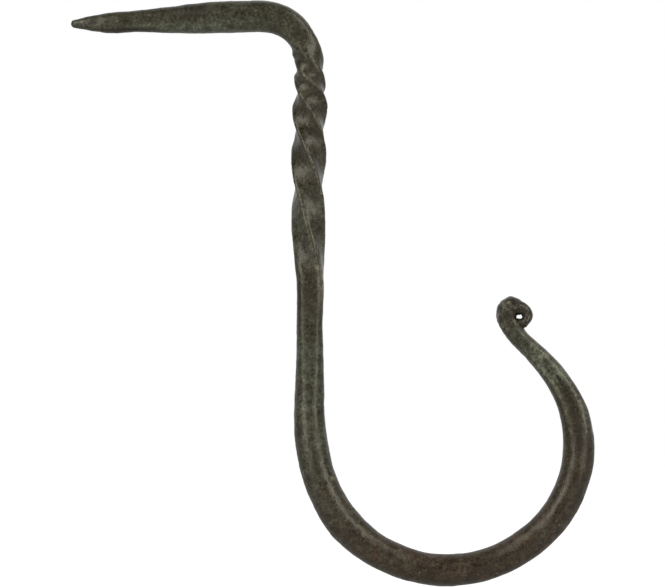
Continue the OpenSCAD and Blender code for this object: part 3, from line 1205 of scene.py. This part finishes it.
@dataclass(frozen=True)
class ForgedFinish:
    """Dark forge scale under wax, rubbed through to pale iron along its edges."""

    umber: Colour = (0.0185, 0.014, 0.0068)
    olive: Colour = (0.028, 0.0305, 0.0165)
    slate: Colour = (0.080, 0.090, 0.062)
    russet: Colour = (0.019, 0.0085, 0.0035)
    rust: Colour = (0.044, 0.021, 0.011)
    soot: Colour = (0.010, 0.0068, 0.0036)
    bare: Colour = (0.21, 0.19, 0.14)
    sheen_tint: Colour = (1.0, 0.97, 0.86)
    refraction: float = 1.42
    roughness: float = 0.31
    wax: float = 0.08
    wax_roughness: float = 0.22
    bump_strength: float = 0.6
    bump_depth: float = 0.12 * MM
    patches: Pattern = Pattern(2.2 * MM, 5.0, 0.66, 0.0, 0.4, 0.6)
    clouds: Pattern = Pattern(7.0 * MM, 3.0, 0.6, 4.0, 0.42, 0.6)
    grain: Pattern = Pattern(0.5 * MM, 3.0, 0.65, 9.0)
    dust: Pattern = Pattern(1.3 * MM, 4.0, 0.7, 12.0, 0.42, 0.62)
    breaks: Pattern = Pattern(1.0 * MM, 4.0, 0.7, 15.0, 0.4, 0.6)
    specks: Pattern = Pattern(0.5 * MM, 1.0, 0.5, 21.0, 0.66, 0.74)
    speck_areas: Pattern = Pattern(5.0 * MM, 2.0, 0.5, 25.0, 0.42, 0.6)
    fine_grain: Pattern = Pattern(0.3 * MM, 2.0, 0.6, 31.0)
    mottle: Pattern = Pattern(1.1 * MM, 4.0, 0.7, 41.0)
    spike_end: Ramp = Ramp(8.0 * MM, -20.0 * MM)
    # Painted light: the next two ramps paint the spike's underside paler, for light reflected up
    # from below.
    spike_underside: Ramp = Ramp(0.05, -0.6)
    underside_start: Ramp = Ramp(10.0 * MM, 22.0 * MM, 0.2, 1.0)
    knob_start: Ramp = Ramp(4.0 * MM, 7.0 * MM)
    knob_soot: Ramp = Ramp(0.54, 0.42, 0.0, 0.95)
    knob_bare: Ramp = Ramp(0.55, 0.66, 0.0, 0.7)
    # Darker over the side of the curl's bar that faces its eye.
    eye_soot: Ramp = Ramp(0.15, -0.45, 0.0, 0.85)
    # The marks' tone paints iron rubbed pale and soot, and at some marks painted highlights and
    # painted shade.
    tone_bare: Ramp = Ramp(0.05, 1.0)
    tone_soot: Ramp = Ramp(-0.05, -0.9)
    pit_soot: Ramp = Ramp(-0.1, -0.9, 0.0, 0.7)
    edge_rub: Ramp = Ramp(0.45, 0.95)
    grain_light: Ramp = Ramp(0.28, 0.72, 0.35, 1.75)
    grain_roughness: Ramp = Ramp(0.3, 0.7, -0.06, 0.1)
    pit_roughness: Ramp = Ramp(0.2, -0.8, 0.0, 0.12)
    pit_wax: Ramp = Ramp(0.0, -0.8, 1.0, 0.3)
    rust_by_cloud: Levels = (0.6, 1.0)
    pale_by_dust: Levels = (0.15, 0.85)
    # Painted light: the dust breaks up the spike's painted underside light between these levels.
    underside_by_dust: Levels = (0.5, 1.1)
    bare_by_breaks: Levels = (0.3, 1.0)
    soot_by_dust: Levels = (0.5, 1.0)
    cloud_paleness: float = 0.3
    rub_share: float = 0.6
    speck_share: float = 0.45
    worn_polish: float = 0.05
    burnish_polish: float = 0.09
    soot_dulling: float = 0.15
    edge_dulling: float = 0.18
    rust_dulling: float = 0.1
    fine_share: float = 0.4

    def material(self, bar: ForgedBar) -> bpy.types.Material:
        """Make the material.

        Args:
            bar: The bar that it dresses, for the distances at which the finish changes.

        Returns:
            The material.
        """
        material, canvas = blank_material("forged_iron")
        place = canvas.read("ShaderNodeTexCoord", "Object")
        traits = {trait: canvas.read("ShaderNodeAttribute", "Fac", {"attribute_name": trait.value})
                  for trait in SkinTree.KEPT}
        along, edge, inner, relief, tone, burnish, russet, pale = traits.values()
        cloud, dust, broken = (pattern.cut(place)
                               for pattern in (self.clouds, self.dust, self.breaks))
        grain = self.grain.raw(place)

        colour = self._scale_colour(place, russet, cloud)
        # Painted light: the spike is painted paler towards its underside, for light reflected up
        # from below.
        spike = along.step(self.spike_end, bar.starts["neck"])
        underside_light = spike * inner.step(self.spike_underside) * along.step(self.underside_start)
        paleness_and_underside_light = pale * dust.between(self.pale_by_dust) + cloud * dust * self.cloud_paleness
        paleness_and_underside_light = paleness_and_underside_light + underside_light * dust.between(self.underside_by_dust)
        colour = paleness_and_underside_light.tint(colour, self.slate)
        # Paler where the marks' tone is positive: iron rubbed pale at some marks, painted
        # highlights at others.
        rubbed_and_highlit = tone.step(self.tone_bare) * broken.between(self.bare_by_breaks)
        colour = rubbed_and_highlit.tint(colour, self.bare)
        # Darker where the marks' tone is negative and in the pits: soot, and painted shade at some
        # marks.
        soot_and_painted_shade = tone.step(self.tone_soot) * dust.between(self.soot_by_dust)
        soot_and_painted_shade = relief.step(self.pit_soot) + soot_and_painted_shade
        colour = soot_and_painted_shade.tint(colour, self.soot)
        knob = along.step(self.knob_start, bar.starts["curl"])
        mottle = self.mottle.raw(place)
        colour = (knob * mottle.step(self.knob_soot)).tint(colour, self.soot)
        colour = (knob * mottle.step(self.knob_bare)).tint(colour, self.bare)
        # The knob is darker over the side of its bar that faces the curl's eye.
        colour = (knob * inner.step(self.eye_soot)).tint(colour, self.soot)
        rubbed_and_highlit = edge.step(self.edge_rub) * broken * burnish * self.rub_share
        specks = self.specks.cut(place) * self.speck_areas.cut(place) * self.speck_share
        worn = (rubbed_and_highlit + specks).math("MINIMUM", 1.0)
        colour = worn.tint(colour, self.bare).scaled(grain.step(self.grain_light))

        roughness = grain.step(self.grain_roughness) + relief.step(self.pit_roughness)
        roughness = roughness + soot_and_painted_shade * self.soot_dulling + russet * cloud * self.rust_dulling
        roughness = roughness + edge * (1.0 - broken) * self.edge_dulling + self.roughness
        roughness = roughness - worn * self.worn_polish - burnish * self.burnish_polish
        bump = canvas.read("ShaderNodeBump", "Normal", sockets={
            "Strength": self.bump_strength, "Distance": self.bump_depth,
            "Height": grain + self.fine_grain.raw(place) * self.fine_share})
        shader = canvas.read("ShaderNodeBsdfPrincipled", "BSDF", sockets={
            "Base Color": colour, "Roughness": roughness, "Metallic": 0.0,
            "IOR": self.refraction, "Specular Tint": (*self.sheen_tint, 1.0),
            "Coat Weight": relief.step(self.pit_wax) * self.wax,
            "Coat Roughness": self.wax_roughness, "Normal": bump})
        canvas.node("ShaderNodeOutputMaterial", sockets={"Surface": shader})
        return material

    def _scale_colour(self, place: Wire, russet: Wire, cloud: Wire) -> Wire:
        """Mix the scale's own colours: brown and green in patches, and rust over them."""
        patches = self.patches.cut(place)
        rusty = patches.tint(self.russet, self.rust)
        cover = russet * cloud.between(self.rust_by_cloud)
        return cover.tint(patches.tint(self.umber, self.olive), rusty)


# ---- The studio --------------------------------------------------------------------------------

@dataclass(frozen=True)
class Softbox:
    """A soft rectangular light that looks at the hook."""

    name: str
    azimuth_deg: float
    elevation_deg: float
    distance: float
    width: float
    height: float
    power: float
    colour: Colour = (1.0, 0.985, 0.93)

    def place(self, target: Vector) -> bpy.types.Object:
        """Hang the light.

        Args:
            target: The point that it looks at.

        Returns:
            The light. Azimuth 0 is the camera's side, and positive turns to its right.
        """
        azimuth, elevation = math.radians(self.azimuth_deg), math.radians(self.elevation_deg)
        level = math.cos(elevation)
        way = Vector((math.sin(azimuth) * level, -math.cos(azimuth) * level, math.sin(elevation)))
        lamp = bpy.data.lights.new(self.name, "AREA")
        lamp.shape = "RECTANGLE"
        lamp.size, lamp.size_y = self.width, self.height
        lamp.energy = self.power
        lamp.color = self.colour
        item = linked(self.name, lamp)
        item.location = target + way * self.distance
        item.rotation_euler = way.to_track_quat("Z", "Y").to_euler()
        return item


@dataclass
class Studio:
    """The pale floor, the white room, the softboxes and the camera."""

    target: Vector = field(default_factory=lambda: Vector((7.62 * MM, 0.0, -53.1 * MM)))
    view_width: float = 126.67 * MM
    distance: float = 1.2
    sensor: float = 36.0
    clip_end: float = 20.0
    floor_level: float = -0.17
    floor_size: float = 6.0
    floor_grey: float = 0.55
    floor_seen: float = 0.9
    floor_reflected: float = 0.18
    room_light: Ramp = Ramp(-0.6, 0.6, 0.1, 0.5)
    room_reflected: Ramp = Ramp(-0.1, 0.5, 0.0, 0.6)
    softboxes: tuple[Softbox, ...] = (
        Softbox("key_left", -39.5, 22.0, 0.9, 0.36, 0.9, 5.4),
        Softbox("key_right", 45.0, 22.0, 0.9, 0.36, 0.9, 5.1),
    )

    def camera(self) -> bpy.types.Object:
        """Set up the long lens, square to the hook's plane.

        Returns:
            The camera.
        """
        data = bpy.data.cameras.new("camera")
        data.sensor_width = self.sensor
        data.lens = self.sensor * self.distance / self.view_width
        data.clip_end = self.clip_end
        item = linked("camera", data)
        item.location = self.target + Vector((0.0, -self.distance, 0.0))
        item.rotation_euler = (QUARTER, 0.0, 0.0)
        bpy.context.scene.camera = item
        return item

    def floor(self) -> bpy.types.Object:
        """Lay the pale floor.

        Returns:
            The floor.
        """
        half = self.floor_size / 2.0
        corners = [(x * half, y * half, self.floor_level)
                   for x, y in ((-1, -1), (1, -1), (1, 1), (-1, 1))]
        mesh = bpy.data.meshes.new("floor")
        mesh.from_pydata(corners, [], [(0, 1, 2, 3)])
        mesh.materials.append(self._floor_finish())
        item = linked("floor", mesh)
        return item

    def _floor_finish(self) -> bpy.types.Material:
        """Make the floor's finish: matt and pale, and white where the camera sees it."""
        material, canvas = blank_material("pale_floor")
        camera, glossy = self._rays(canvas)
        grey = (self.floor_grey, self.floor_grey, self.floor_grey, 1.0)
        matt = canvas.read("ShaderNodeBsdfDiffuse", 0, sockets={"Color": grey})
        glow = canvas.read("ShaderNodeEmission", 0, sockets={
            "Strength": camera * self.floor_seen + glossy * self.floor_reflected})
        both = canvas.read("ShaderNodeAddShader", 0, sockets={0: matt, 1: glow})
        canvas.node("ShaderNodeOutputMaterial", sockets={"Surface": both})
        return material

    @staticmethod
    def _rays(canvas: Canvas) -> tuple[Wire, Wire]:
        """Give the wires that are 1 for the camera's rays and for reflections."""
        path = canvas.node("ShaderNodeLightPath")
        return tuple(Wire(canvas, path.outputs[f"Is {kind} Ray"]) for kind in ("Camera", "Glossy"))

    def room(self) -> bpy.types.World:
        """Make the white room: white to look at, grey as a light, and brighter behind the hook.

        Returns:
            The world.
        """
        world = bpy.data.worlds.new("white_room")
        world.use_nodes = True
        world.node_tree.nodes.clear()
        canvas = Canvas(world.node_tree)
        camera, glossy = self._rays(canvas)
        way = canvas.read("ShaderNodeTexCoord", "Generated")
        split = canvas.node("ShaderNodeSeparateXYZ", sockets={0: way})
        behind = Wire(canvas, split.outputs["Y"])
        level = behind.step(self.room_light)
        level = level + glossy * behind.step(self.room_reflected) * (1.0 - level)
        white = (1.0, 1.0, 1.0, 1.0)
        shader = canvas.read("ShaderNodeBackground", 0, sockets={
            "Color": white, "Strength": camera * (1.0 - level) + level})
        canvas.node("ShaderNodeOutputWorld", sockets={"Surface": shader})
        bpy.context.scene.world = world
        return world

    def build(self) -> None:
        """Set up the whole studio."""
        bpy.context.scene.view_settings.view_transform = "Standard"
        self.camera()
        self.floor()
        self.room()
        for softbox in self.softboxes:
            softbox.place(self.target)


def report(item: bpy.types.Object) -> None:
    """Log a piece's name, size and number of faces."""
    size = ", ".join(f"{side / MM:.1f}" for side in item.dimensions)
    LOG.info("%s: %s mm, %d faces", item.name, size, len(item.data.polygons))


def main() -> None:
    """Build the studio and the hook, and tie the hook to the frame."""
    logging.basicConfig(level=logging.INFO, format="%(name)s: %(message)s")
    Studio().build()
    bar = ForgedBar()
    hook = bar.build(ForgedFinish().material(bar))
    report(hook)
    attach(hook, "root")
    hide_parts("hook")


if __name__ == "__main__":
    main()
